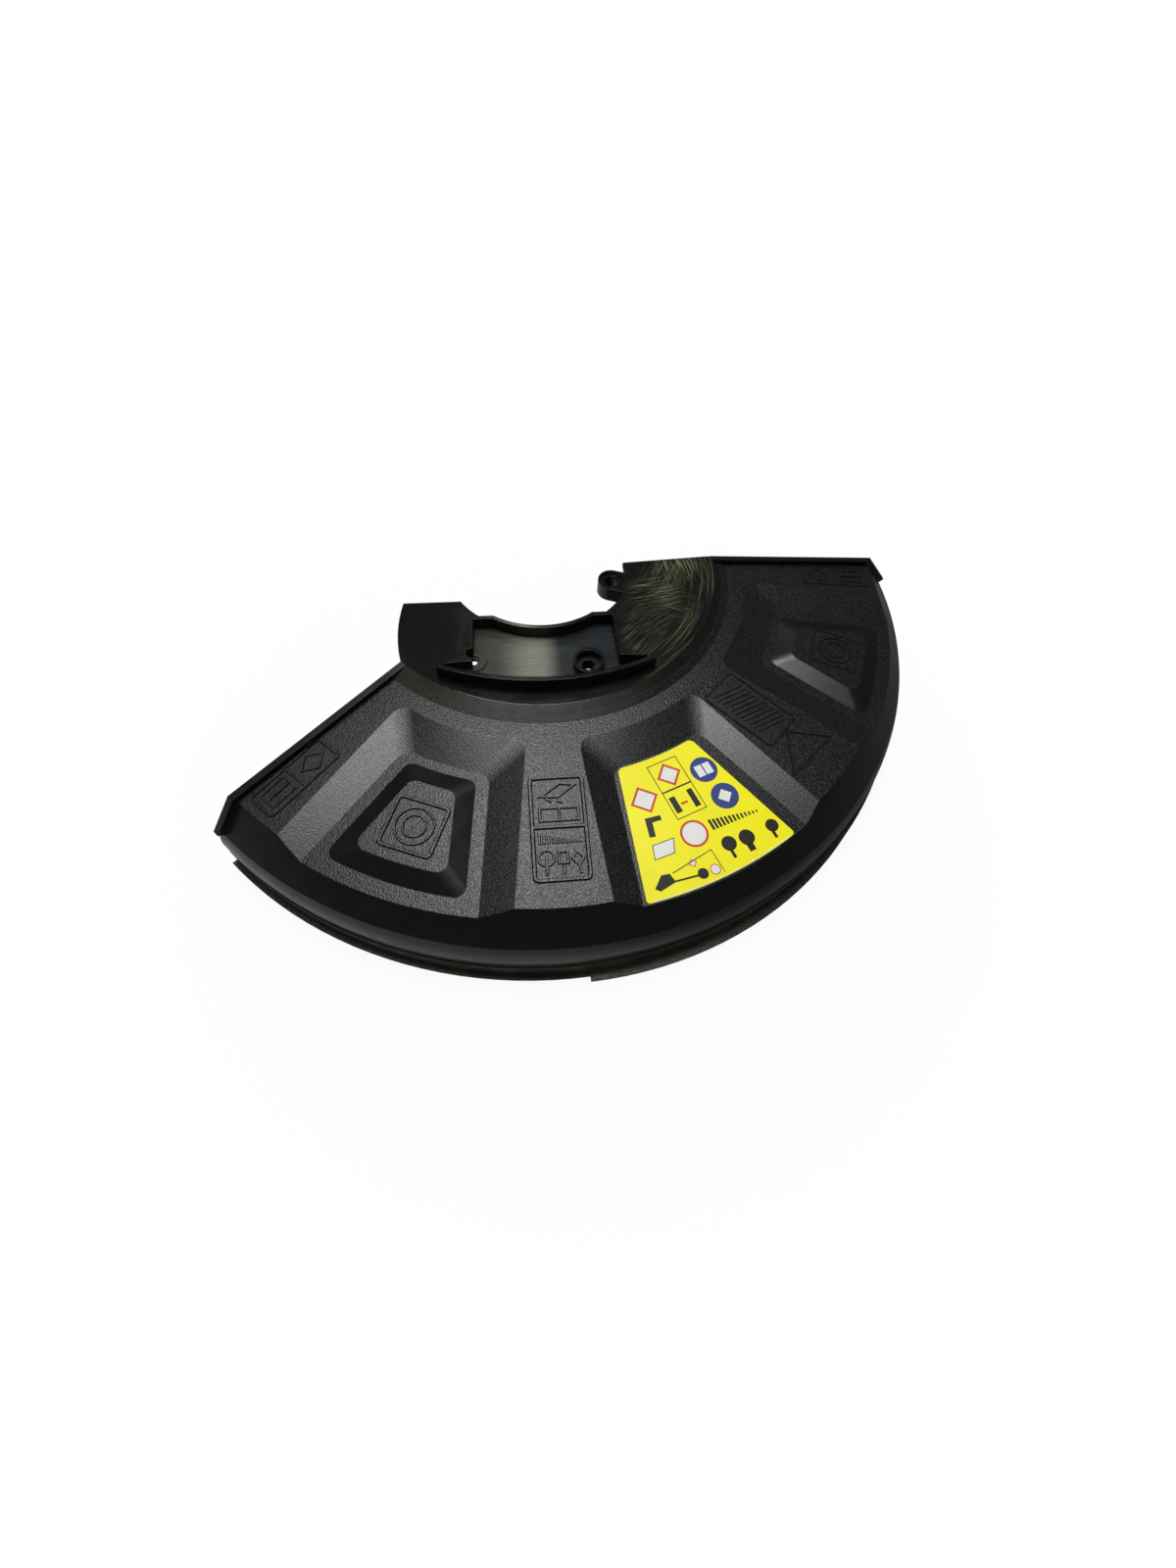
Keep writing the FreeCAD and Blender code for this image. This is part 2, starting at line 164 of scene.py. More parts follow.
# Lights: places, aims and sizes in metres, and colours
SOFTBOX_PLACE = (-0.045, 0.23, 1.19)
SOFTBOX_AIM = (-0.045, 0.23, 0.0)
SOFTBOX_COLOUR = (0.97, 1.0, 0.975)
BACK_PLACE = (-0.015, 1.05, 1.19)
BACK_AIM = (-0.01, -0.05, 0.04)
BACK_SIZE = (0.06, 0.16)
BACK_COLOUR = (1.0, 0.99, 0.88)

# Patches of wiping strokes on the right plate: stroke direction in degrees, centre and reach in mm, strength;
# each patch makes the hub rougher and carries painted reflection streaks in its colour
WIPES = (
    (12.0, (57.0, -24.0), 19.0, 0.95),
    (-22.0, (66.0, -30.0), 17.0, 0.42),
    (96.0, (73.0, -8.0), 20.0, 0.95),
    (62.0, (64.0, -12.0), 16.0, 0.65),
    (44.0, (42.0, -50.0), 27.0, 0.34),
    (32.0, (56.0, -44.0), 20.0, 0.26),
)


class GuardFinish(bpy.types.PropertyGroup):
    """Colours, grain and polish of the black moulding"""
    plastic: FloatVectorProperty(
        name="Plastic", description="Colour of the black moulding", subtype="COLOR",
        size=3, min=0.0, max=1.0, default=(0.0054, 0.0057, 0.0055))
    grain_tip: FloatVectorProperty(
        name="Grain tip", description="Colour of the raised specks of the eroded grain", subtype="COLOR",
        size=3, min=0.0, max=1.0, default=(0.024, 0.025, 0.023))
    # Painted reflection: the pale olive streaks of the wiped film stand in for light that the hub deck
    # reflects
    wipe_reflection: FloatVectorProperty(
        name="Wipe film", description="Colour of the film that wiping left on the hub deck", subtype="COLOR",
        size=3, min=0.0, max=1.0, default=(0.20, 0.195, 0.105))
    # Painted reflection: the lip and foot flange are painted paler and brownish in place of the floor that
    # they reflect
    lip_reflection: FloatVectorProperty(
        name="Rim wear", description="Colour of the rubbed lip and foot flange", subtype="COLOR",
        size=3, min=0.0, max=1.0, default=(0.046, 0.045, 0.032))
    grain_size: FloatProperty(
        name="Grain size", description="Width of one speck of the grain", subtype="DISTANCE",
        unit="LENGTH", min=0.0001, default=0.62 * MM)
    grain_depth: FloatProperty(
        name="Grain depth", description="Height of the grain", subtype="DISTANCE",
        unit="LENGTH", min=0.0, default=0.21 * MM)
    edge_radius: FloatProperty(
        name="Edge radius", description="Rounding that the light sees on the edges", subtype="DISTANCE",
        unit="LENGTH", min=0.0, default=0.5 * MM)
    grain_roughness: FloatProperty(
        name="Grained roughness", description="Roughness of the grained skirt", subtype="FACTOR",
        min=0.0, max=1.0, default=0.28)
    smooth_roughness: FloatProperty(
        name="Smooth roughness", description="Roughness of the outer wall and ribs", subtype="FACTOR",
        min=0.0, max=1.0, default=0.28)
    hub_roughness: FloatProperty(
        name="Hub roughness", description="Roughness of the polished hub deck", subtype="FACTOR",
        min=0.0, max=1.0, default=0.155)


class GuardMarks(bpy.types.PropertyGroup):
    """Sizes of the moulded lines"""
    frame_width: FloatProperty(
        name="Frame width", description="Width of a moulded frame's line", subtype="DISTANCE",
        unit="LENGTH", min=0.0001, default=2.2 * MM)
    line_width: FloatProperty(
        name="Line width", description="Width of a moulded line inside a frame", subtype="DISTANCE",
        unit="LENGTH", min=0.0001, default=1.5 * MM)
    line_rise: FloatProperty(
        name="Line rise", description="Height of a moulded line over the face", subtype="DISTANCE",
        unit="LENGTH", min=0.0001, default=0.75 * MM)


class LabelPrint(bpy.types.PropertyGroup):
    """Colours and line widths of the label"""
    film: FloatVectorProperty(
        name="Film", description="Colour of the label film", subtype="COLOR",
        size=3, min=0.0, max=1.0, default=(0.95, 0.86, 0.010))
    edge: FloatVectorProperty(
        name="Film edge", description="Colour of the film's pale cut edge", subtype="COLOR",
        size=3, min=0.0, max=1.0, default=(0.88, 0.84, 0.42))
    black: FloatVectorProperty(
        name="Black ink", description="Black ink of the label", subtype="COLOR",
        size=3, min=0.0, max=1.0, default=(0.018, 0.018, 0.012))
    blue: FloatVectorProperty(
        name="Blue ink", description="Blue ink of the label", subtype="COLOR",
        size=3, min=0.0, max=1.0, default=(0.035, 0.055, 0.23))
    red: FloatVectorProperty(
        name="Red ink", description="Red ink of the label", subtype="COLOR",
        size=3, min=0.0, max=1.0, default=(0.62, 0.07, 0.015))
    white: FloatVectorProperty(
        name="White ink", description="White ink of the label", subtype="COLOR",
        size=3, min=0.0, max=1.0, default=(0.80, 0.80, 0.76))
    line: FloatProperty(
        name="Outline", description="Width of a broad printed outline", subtype="DISTANCE",
        unit="LENGTH", min=0.0001, default=1.0 * MM)
    hairline: FloatProperty(
        name="Hairline", description="Width of a fine printed outline", subtype="DISTANCE",
        unit="LENGTH", min=0.0001, default=0.35 * MM)
    ink: FloatProperty(
        name="Ink", description="Thickness of one layer of ink", subtype="DISTANCE",
        unit="LENGTH", min=0.00001, default=0.03 * MM)


class GuardStage(bpy.types.PropertyGroup):
    """Floor, lights and camera"""
    floor: FloatVectorProperty(
        name="Floor", description="Colour of the floor", subtype="COLOR",
        size=3, min=0.0, max=1.0, default=(0.9, 0.9, 0.9))
    softbox_power: FloatProperty(
        name="Softbox power", description="Power of the overhead softbox", subtype="POWER",
        unit="POWER", min=0.0, default=12.0)
    softbox_width: FloatProperty(
        name="Softbox width", description="Width of the overhead softbox", subtype="DISTANCE",
        unit="LENGTH", min=0.01, default=0.57)
    softbox_depth: FloatProperty(
        name="Softbox depth", description="Depth of the overhead softbox", subtype="DISTANCE",
        unit="LENGTH", min=0.01, default=0.54)
    back_power: FloatProperty(
        name="Back panel power", description="Power of the narrow panel behind the hub", subtype="POWER",
        unit="POWER", min=0.0, default=0.4)
    room: FloatProperty(
        name="Room light", description="Level of the soft light from all round", min=0.0, default=0.25)
    azimuth: FloatProperty(
        name="Azimuth", description="Turn of the camera round the guard, 0 looks along +Y",
        subtype="ANGLE", unit="ROTATION", default=math.radians(-10.5))
    elevation: FloatProperty(
        name="Elevation", description="Angle of the camera above the horizon",
        subtype="ANGLE", unit="ROTATION", default=math.radians(59.8))
    roll: FloatProperty(
        name="Roll", description="Turn of the camera about its own line of sight",
        subtype="ANGLE", unit="ROTATION", default=math.radians(5.59))
    distance: FloatProperty(
        name="Distance", description="From the camera to the point that it looks at",
        subtype="DISTANCE", unit="LENGTH", min=0.05, default=0.31789)
    lens: FloatProperty(
        name="Lens", description="Focal length on a sensor 36 mm long", min=5.0, default=14.625)
    target: FloatVectorProperty(
        name="Target", description="Point that the camera looks at", subtype="XYZ",
        unit="LENGTH", size=3, default=(0.0174, -0.1056, 0.0))


# Shader node groups

def new_group(name, inputs, outputs):
    """Empty shader group with named float or vector inputs and float outputs."""
    group = bpy.data.node_groups.new(name, "ShaderNodeTree")
    for socket, kind, value in inputs:
        made = group.interface.new_socket(socket, in_out="INPUT", socket_type=kind)
        if value is not None:
            made.default_value = value
    for socket in outputs:
        group.interface.new_socket(socket, in_out="OUTPUT", socket_type="NodeSocketFloat")
    enter = group.nodes.new("NodeGroupInput")
    leave = group.nodes.new("NodeGroupOutput")
    return group, enter, leave


def math_node(tree, operation, first, second=None):
    """Math node whose inputs are sockets or numbers; gives its output socket."""
    node = tree.nodes.new("ShaderNodeMath")
    node.operation = operation
    for socket, value in zip(node.inputs, (first, second)):
        if isinstance(value, bpy.types.NodeSocket):
            tree.links.new(value, socket)
        elif value is not None:
            socket.default_value = value
    return node.outputs[0]


def ramp(tree, value, low, high):
    """Smooth step of a value from 0 at low to 1 at high."""
    node = tree.nodes.new("ShaderNodeMapRange")
    node.interpolation_type = "SMOOTHSTEP"
    tree.links.new(value, node.inputs["Value"])
    node.inputs["From Min"].default_value = low
    node.inputs["From Max"].default_value = high
    return node.outputs["Result"]


def grain_group():
    """Spark-eroded grain: rounded specks of uneven size."""
    group, enter, leave = new_group(
        "moulded_grain",
        [("Vector", "NodeSocketVector", None), ("Size", "NodeSocketFloat", 0.75 * MM)],
        ["Height", "Speck"])
    scale = math_node(group, "DIVIDE", 1.0, enter.outputs["Size"])
    fine = group.nodes.new("ShaderNodeTexNoise")
    fine.inputs["Detail"].default_value = 2.0
    fine.inputs["Roughness"].default_value = 0.6
    cells = group.nodes.new("ShaderNodeTexVoronoi")
    cells.feature = "SMOOTH_F1"
    for node in (fine, cells):
        group.links.new(enter.outputs["Vector"], node.inputs["Vector"])
        group.links.new(scale, node.inputs["Scale"])
    bumps = math_node(group, "SUBTRACT", 1.0, cells.outputs["Distance"])
    height = math_node(group, "MULTIPLY", bumps, fine.outputs["Fac"])
    speck = ramp(group, height, *SPECK_LEVELS)
    group.links.new(height, leave.inputs["Height"])
    group.links.new(speck, leave.inputs["Speck"])
    return group


def stroke_group():
    """Fine strokes of wiping or brushing that run along the X of a vector."""
    group, enter, leave = new_group(
        "wiping_strokes",
        [("Vector", "NodeSocketVector", None), ("Along", "NodeSocketFloat", 30.0 * MM),
         ("Across", "NodeSocketFloat", 0.8 * MM)],
        ["Stroke", "Height"])
    stretch = group.nodes.new("ShaderNodeCombineXYZ")
    for socket, size in (("X", "Along"), ("Y", "Across")):
        group.links.new(math_node(group, "DIVIDE", 1.0, enter.outputs[size]), stretch.inputs[socket])
    scaled = group.nodes.new("ShaderNodeVectorMath")
    scaled.operation = "MULTIPLY"
    group.links.new(enter.outputs["Vector"], scaled.inputs[0])
    group.links.new(stretch.outputs[0], scaled.inputs[1])
    noise = group.nodes.new("ShaderNodeTexNoise")
    noise.inputs["Scale"].default_value = 1.0
    noise.inputs["Detail"].default_value = 3.0
    noise.inputs["Roughness"].default_value = 0.62
    group.links.new(scaled.outputs[0], noise.inputs["Vector"])
    group.links.new(ramp(group, noise.outputs["Fac"], *STROKE_LEVELS), leave.inputs["Stroke"])
    group.links.new(noise.outputs["Fac"], leave.inputs["Height"])
    return group


def sheen_group():
    """Broad soft patches where handling changed the sheen."""
    group, enter, leave = new_group(
        "handled_sheen",
        [("Vector", "NodeSocketVector", None), ("Size", "NodeSocketFloat", 16.0 * MM)],
        ["Patch"])
    scale = math_node(group, "DIVIDE", 1.0, enter.outputs["Size"])
    noise = group.nodes.new("ShaderNodeTexNoise")
    noise.inputs["Detail"].default_value = 3.0
    noise.inputs["Distortion"].default_value = 1.2
    group.links.new(enter.outputs["Vector"], noise.inputs["Vector"])
    group.links.new(scale, noise.inputs["Scale"])
    group.links.new(ramp(group, noise.outputs["Fac"], *PATCH_LEVELS), leave.inputs["Patch"])
    return group


def dust_group():
    """Sparse pale dust."""
    group, enter, leave = new_group(
        "settled_dust",
        [("Vector", "NodeSocketVector", None), ("Size", "NodeSocketFloat", 1.2 * MM)],
        ["Dust"])
    scale = math_node(group, "DIVIDE", 1.0, enter.outputs["Size"])
    motes = group.nodes.new("ShaderNodeTexNoise")
    motes.inputs["Detail"].default_value = 1.0
    group.links.new(enter.outputs["Vector"], motes.inputs["Vector"])
    group.links.new(scale, motes.inputs["Scale"])
    group.links.new(ramp(group, motes.outputs["Fac"], *MOTE_LEVELS), leave.inputs["Dust"])
    return group


EFFECTS = {
    "moulded_grain": grain_group,
    "wiping_strokes": stroke_group,
    "handled_sheen": sheen_group,
    "settled_dust": dust_group,
}


def effect(tree, name, vector, **values):
    """Places a shared effect group in a material."""
    group = bpy.data.node_groups.get(name)
    if group is None:
        group = EFFECTS[name]()
    node = tree.nodes.new("ShaderNodeGroup")
    node.node_tree = group
    tree.links.new(vector, node.inputs["Vector"])
    for socket, value in values.items():
        node.inputs[socket].default_value = value
    return node


def mix_colour(tree, factor, first, second):
    """Colour mix; each colour is a socket or three numbers."""
    node = tree.nodes.new("ShaderNodeMix")
    node.data_type = "RGBA"
    tree.links.new(factor, node.inputs["Factor"])
    for socket, value in ((node.inputs[6], first), (node.inputs[7], second)):
        if isinstance(value, bpy.types.NodeSocket):
            tree.links.new(value, socket)
        else:
            socket.default_value = (*value, 1.0)
    return node.outputs[2]


def mix_value(tree, factor, first, second):
    """Value mix; each value is a socket or a number."""
    node = tree.nodes.new("ShaderNodeMix")
    node.data_type = "FLOAT"
    tree.links.new(factor, node.inputs["Factor"])
    for socket, value in ((node.inputs[2], first), (node.inputs[3], second)):
        if isinstance(value, bpy.types.NodeSocket):
            tree.links.new(value, socket)
        else:
            socket.default_value = value
    return node.outputs[0]


def new_material(name):
    """Material with a Principled shader; gives the material, its tree, shader and object coordinates."""
    material = bpy.data.materials.new(name)
    material.use_nodes = True
    tree = material.node_tree
    shader = tree.nodes["Principled BSDF"]
    place = tree.nodes.new("ShaderNodeTexCoord").outputs["Object"]
    return material, tree, shader, place


def split(tree, vector):
    """The three parts of a vector."""
    node = tree.nodes.new("ShaderNodeSeparateXYZ")
    tree.links.new(vector, node.inputs[0])
    return node.outputs[0], node.outputs[1], node.outputs[2]


def joined(tree, x, y):
    """Flat vector of two values."""
    node = tree.nodes.new("ShaderNodeCombineXYZ")
    tree.links.new(x, node.inputs["X"])
    tree.links.new(y, node.inputs["Y"])
    return node.outputs[0]


def product(tree, first, *others):
    """Product of sockets and numbers, the first one a socket."""
    for other in others:
        first = math_node(tree, "MULTIPLY", first, other)
    return first


def inverse(tree, mask):
    """One minus a mask."""
    return math_node(tree, "SUBTRACT", 1.0, mask)


def plan_length(tree, x, y):
    """Length of a vector in the plan."""
    squares = math_node(tree, "ADD", product(tree, x, x), product(tree, y, y))
    return math_node(tree, "SQRT", squares)


def face_rise(tree):
    """Upward part of the face's own normal."""
    return split(tree, tree.nodes.new("ShaderNodeNewGeometry").outputs["True Normal"])[2]


def add_bump(tree, shader, height, distance, edges=0.0):
    """Bump from a height, over edges that look rounded to a radius."""
    bump = tree.nodes.new("ShaderNodeBump")
    bump.inputs["Distance"].default_value = distance
    tree.links.new(height, bump.inputs["Height"])
    if edges > 0.0:
        bevel = tree.nodes.new("ShaderNodeBevel")
        bevel.samples = 4
        bevel.inputs["Radius"].default_value = edges
        tree.links.new(bevel.outputs["Normal"], bump.inputs["Normal"])
    tree.links.new(bump.outputs["Normal"], shader.inputs["Normal"])


# Materials

def stroke_patch(tree, place, x, y, direction, centre, reach, strength):
    """Mask of straight wiping strokes that run one way and fade out round a centre."""
    turned = tree.nodes.new("ShaderNodeVectorRotate")
    turned.rotation_type = "Z_AXIS"
    turned.inputs["Angle"].default_value = -math.radians(direction)
    tree.links.new(place, turned.inputs["Vector"])
    strokes = effect(tree, "wiping_strokes", turned.outputs[0], Along=17.0 * MM, Across=0.75 * MM)
    away = plan_length(tree, math_node(tree, "SUBTRACT", x, centre[0] * MM),
                       math_node(tree, "SUBTRACT", y, centre[1] * MM))
    far = ramp(tree, away, 0.15 * reach * MM, reach * MM)
    sparse = product(tree, strokes.outputs["Stroke"], strokes.outputs["Stroke"])
    return product(tree, sparse, inverse(tree, far), strength)


def wiped_film_and_reflection(tree, place, zones):
    """Mask of the film that wiping left on the right plate, which also carries painted reflection streaks:
    crossing patches, bent strokes by the edge.
    """
    x, y, radius = zones["x"], zones["y"], zones["radius"]
    round_axis = product(tree, math_node(tree, "ARCTAN2", y, x), 90.0 * MM)
    bent = effect(tree, "wiping_strokes", joined(tree, round_axis, radius), Along=34.0 * MM, Across=1.0 * MM)
    edge = product(tree, ramp(tree, radius, *EDGE_WIPE_RADII), ramp(tree, x, *EDGE_WIPE_FADE))
    film = product(tree, bent.outputs["Stroke"], bent.outputs["Stroke"], edge, EDGE_WIPE_STRENGTH)
    for direction, centre, reach, strength in WIPES:
        patch = stroke_patch(tree, place, x, y, direction, centre, reach, strength)
        film = math_node(tree, "MAXIMUM", film, patch)
    return product(tree, film, ramp(tree, x, *PLATE_FADE), zones["plate"])


def pad_walls(tree, x, y, radius, rise):
    """Mask of the smooth walls round the pads in the two outer pockets."""
    bearing = math_node(tree, "SUBTRACT", math_node(tree, "ARCTAN2", y, x), math.radians(SECTOR_CENTRE))
    beside = math_node(tree, "SUBTRACT", math_node(tree, "ABSOLUTE", bearing), math.radians(POCKET_PITCH))
    off_middle = math_node(tree, "ABSOLUTE", beside)
    inside = math_node(tree, "SUBTRACT", math.radians(POCKET_HALF_ANGLE), off_middle)
    within = math_node(tree, "GREATER_THAN", product(tree, inside, radius), PAD_EDGE)
    outwards = math_node(tree, "GREATER_THAN", radius, PAD_INNER)
    return product(tree, within, outwards, math_node(tree, "LESS_THAN", rise, PAD_TOP_RISE))


def moulding_zones(tree, place):
    """Plan position, rise and masks of the moulding's zones, by name."""
    x, y, z = split(tree, place)
    radius = plan_length(tree, x, y)
    rise = face_rise(tree)
    over_apex = math_node(tree, "SUBTRACT", z, SKIRT_APEX)
    over_skirt = math_node(tree, "ADD", over_apex, product(tree, radius, SKIRT_FALL))
    below_rib = math_node(tree, "LESS_THAN", over_skirt, RIB_FOOT)
    outside_hub = math_node(tree, "GREATER_THAN", radius, HUB_EDGE)
    off_walls = inverse(tree, pad_walls(tree, x, y, radius, rise))
    inside_hub = math_node(tree, "LESS_THAN", radius, HUB_EDGE)
    deck = product(tree, math_node(tree, "GREATER_THAN", rise, DECK_RISE), inside_hub)
    bowl = product(tree, deck, math_node(tree, "LESS_THAN", z, BOWL_TOP))
    at_rim = math_node(tree, "GREATER_THAN", radius, LIP_ZONE)
    return {
        "x": x, "y": y, "radius": radius, "rise": rise, "deck": deck, "bowl": bowl,
        "plate": math_node(tree, "SUBTRACT", deck, bowl),
        "step": product(tree, outside_hub, math_node(tree, "LESS_THAN", radius, STEP_EDGE)),
        "grained": product(tree, ramp(tree, rise, *STEEP_RISE), outside_hub, below_rib, off_walls),
        "lip": product(tree, math_node(tree, "LESS_THAN", z, LIP_TOP), at_rim),
    }


def bowl_reflections(tree, colour, zones, strokes):
    """Colour with the bowl's painted reflections: a pale brushed band, and duller tints to the left and right
    of its right edge.
    """
    side_share = 0.45
    rubbed = math_node(tree, "ADD", product(tree, strokes, 0.6), 0.4)
    falling = inverse(tree, ramp(tree, zones["x"], *BAND_END))
    band = product(tree, rubbed, ramp(tree, zones["x"], *BAND_START), falling, zones["bowl"])
    colour = mix_colour(tree, band, colour, BOWL_BAND_REFLECTION)
    left = product(tree, zones["bowl"], falling, rubbed, side_share)
    colour = mix_colour(tree, left, colour, BOWL_LEFT_REFLECTION)
    right = product(tree, zones["bowl"], inverse(tree, falling), rubbed, side_share)
    return mix_colour(tree, right, colour, BOWL_RIGHT_REFLECTION)


def moulding_material(finish):
    """Black plastic: grained skirt, polished and wiped hub, satin outer wall and ribs, with painted light on
    the step and painted reflections on the hub, the bowl and the lip.
    """
    material, tree, shader, place = new_material("guard_plastic")
    zones = moulding_zones(tree, place)
    grain = effect(tree, "moulded_grain", place, Size=finish.grain_size)
    brushed = effect(tree, "wiping_strokes", place, Along=60.0 * MM, Across=0.4 * MM)
    handled = effect(tree, "handled_sheen", place, Size=16.0 * MM).outputs["Patch"]
    dust = effect(tree, "settled_dust", place, Size=1.4 * MM).outputs["Dust"]
    speck = product(tree, grain.outputs["Speck"], zones["grained"])
    film = wiped_film_and_reflection(tree, place, zones)

    colour = mix_colour(tree, speck, finish.plastic, finish.grain_tip)
    # Painted light: the hub's step is painted paler towards the left, fading out along X
    paler = inverse(tree, ramp(tree, zones["x"], *STEP_FADE))
    colour = mix_colour(tree, product(tree, zones["step"], paler, STEP_STRENGTH), colour, STEP_PAINTED_LIGHT)
    # Painted reflection streaks where the hub was wiped; the same mask makes the film rougher further down
    colour = mix_colour(tree, film, colour, finish.wipe_reflection)
    # Painted reflections in the bowl: a pale streaked band with duller tints on either hand
    colour = bowl_reflections(tree, colour, zones, brushed.outputs["Stroke"])
    # Painted reflection of the floor on the lip and foot flange, in soft patches
    lip_reflection_mask = product(tree, zones["lip"], math_node(tree, "ADD", product(tree, handled, 0.5), 0.5))
    colour = mix_colour(tree, lip_reflection_mask, colour, finish.lip_reflection)
    colour = mix_colour(tree, product(tree, dust, DUST_STRENGTH), colour, DUST_TINT)
    tree.links.new(colour, shader.inputs["Base Color"])

    smooth = mix_value(tree, handled, finish.smooth_roughness, finish.smooth_roughness + SMOOTH_SHEEN)
    polish = mix_value(tree, handled, finish.hub_roughness, finish.hub_roughness + HUB_SHEEN)
    polish = mix_value(tree, film, polish, WIPED_ROUGHNESS)
    roughness = mix_value(tree, zones["deck"], smooth, polish)
    grit = mix_value(tree, speck, finish.grain_roughness, finish.grain_roughness + SPECK_GRIT)
    roughness = mix_value(tree, zones["grained"], roughness, grit)
    tree.links.new(roughness, shader.inputs["Roughness"])

    relief = mix_value(tree, ramp(tree, zones["rise"], *WALL_RISE), WALL_GRAIN, 1.0)
    height = product(tree, grain.outputs["Height"], zones["grained"], relief)
    brushing = product(tree, brushed.outputs["Height"], zones["bowl"], BRUSHED_RELIEF)
    height = math_node(tree, "ADD", height, brushing)
    add_bump(tree, shader, height, finish.grain_depth, finish.edge_radius)
    shader.inputs["IOR"].default_value = PLASTIC_IOR
    return material


def line_material(finish):
    """Plastic of the moulded lines: tops like the grain round them, dull sides darkened with painted shade.
    """
    material, tree, shader, place = new_material("moulded_line_plastic")
    grain = effect(tree, "moulded_grain", place, Size=finish.grain_size)
    top = ramp(tree, face_rise(tree), *LINE_TOP_RISE)
    # Painted shade: the sloped sides of each line are painted darker than the plastic, as if in shadow
    side = tuple(c * LINE_SIDE_SHADE for c in finish.plastic)
    skin = mix_colour(tree, grain.outputs["Speck"], finish.plastic, finish.grain_tip)
    tree.links.new(mix_colour(tree, top, side, skin), shader.inputs["Base Color"])
    roughness = mix_value(tree, top, LINE_SIDE_ROUGHNESS, finish.grain_roughness)
    tree.links.new(roughness, shader.inputs["Roughness"])
    add_bump(tree, shader, product(tree, grain.outputs["Height"], top), finish.grain_depth)
    shader.inputs["IOR"].default_value = PLASTIC_IOR
    return material


def film_material(name, colour, shade, roughness):
    """Printed or plain label film: faint mottling, handled sheen and a little dust."""
    material, tree, shader, place = new_material(name)
    grain = effect(tree, "moulded_grain", place, Size=0.5 * MM)
    handled = effect(tree, "handled_sheen", place, Size=22.0 * MM).outputs["Patch"]
    dust = effect(tree, "settled_dust", place, Size=1.1 * MM).outputs["Dust"]
    darker = tuple(c * shade for c in colour)
    specks = product(tree, grain.outputs["Speck"], 0.3)
    mottle = math_node(tree, "ADD", specks, product(tree, handled, 0.5))
    tint = mix_colour(tree, mottle, colour, darker)
    tint = mix_colour(tree, product(tree, dust, LABEL_DUST_STRENGTH), tint, LABEL_DUST_TINT)
    tree.links.new(tint, shader.inputs["Base Color"])
    gloss = mix_value(tree, handled, roughness, roughness + LABEL_SHEEN)
    tree.links.new(gloss, shader.inputs["Roughness"])
    add_bump(tree, shader, grain.outputs["Height"], LABEL_RELIEF)
    shader.inputs["Specular IOR Level"].default_value = LABEL_REFLECTION
    return material


# Meshes laid on the moulding

def surface(node):
    """Ray tree of a CAD node."""
    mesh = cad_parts[node].data
    return BVHTree.FromPolygons([v.co for v in mesh.vertices], [p.vertices for p in mesh.polygons])


def height_at(tree, x, y):
    """Height of the face under the sky at a place; stops the script where there is none."""
    hit = tree.ray_cast(Vector((x, y, 1.0)), Vector((0, 0, -1)))[0]
    if hit is None:
        raise ValueError(f"no face under ({x:.4f}, {y:.4f})")
    return hit.z


def at_angle(angle):
    """Maps a point (u outwards, v to the right seen from the front) at an angle in degrees to the plan."""
    c = math.cos(math.radians(angle))
    s = math.sin(math.radians(angle))
    return lambda u, v: (u * c - v * s, u * s + v * c)


def in_metres(path):
    """Path in metres from one in millimetres."""
    return [(u * MM, v * MM) for u, v in path]


def rectangle(u0, u1, v0, v1):
    """Rectangle between two places outwards and two across."""
    return [(u0, v0), (u1, v0), (u1, v1), (u0, v1)]


def rounded(u0, u1, v0, v1, radius=FRAME_CORNER):
    """Rectangle with rounded corners."""
    inset = rectangle(u0 + radius, u1 - radius, v0 + radius, v1 - radius)
    points = []
    for quarter, (u, v) in enumerate((inset[2], inset[3], inset[0], inset[1])):
        for k in range(5):
            turn = math.radians(90 * quarter + 22.5 * k)
            points.append((u + radius * math.cos(turn), v + radius * math.sin(turn)))
    return points


def circle(u, v, radius, steps=40):
    """Circle as a closed path."""
    turn = [math.tau * k / steps for k in range(steps)]
    return [(u + radius * math.cos(t), v + radius * math.sin(t)) for t in turn]


def divided(path, closed, step):
    """The path with points added so that no run is longer than a step."""
    ends = list(zip(path, path[1:] + path[:1])) if closed else list(zip(path, path[1:]))
    points = []
    for (u0, v0), (u1, v1) in ends:
        parts = max(1, math.ceil(math.hypot(u1 - u0, v1 - v0) / step))
        points += [(u0 + (u1 - u0) * k / parts, v0 + (v1 - v0) * k / parts) for k in range(parts)]
    return points if closed else points + [path[-1]]


def mitres(points, closed):
    """Sideways vector at each point of a path, as long as keeps the line's width even."""
    count = len(points)
    result = []
    for k, (u, v) in enumerate(points):
        before = points[k - 1] if closed or k > 0 else None
        after = points[(k + 1) % count] if closed or k < count - 1 else None
        sides = []
        for (a, b) in ((before, (u, v)), ((u, v), after)):
            if a is None or b is None:
                continue
            run = math.hypot(b[0] - a[0], b[1] - a[1])
            sides.append(((a[1] - b[1]) / run, (b[0] - a[0]) / run))
        total = (sum(s[0] for s in sides), sum(s[1] for s in sides))
        spread = max(total[0] * sides[0][0] + total[1] * sides[0][1], SHARPEST_MITRE)
        result.append((total[0] / spread, total[1] / spread))
    return result


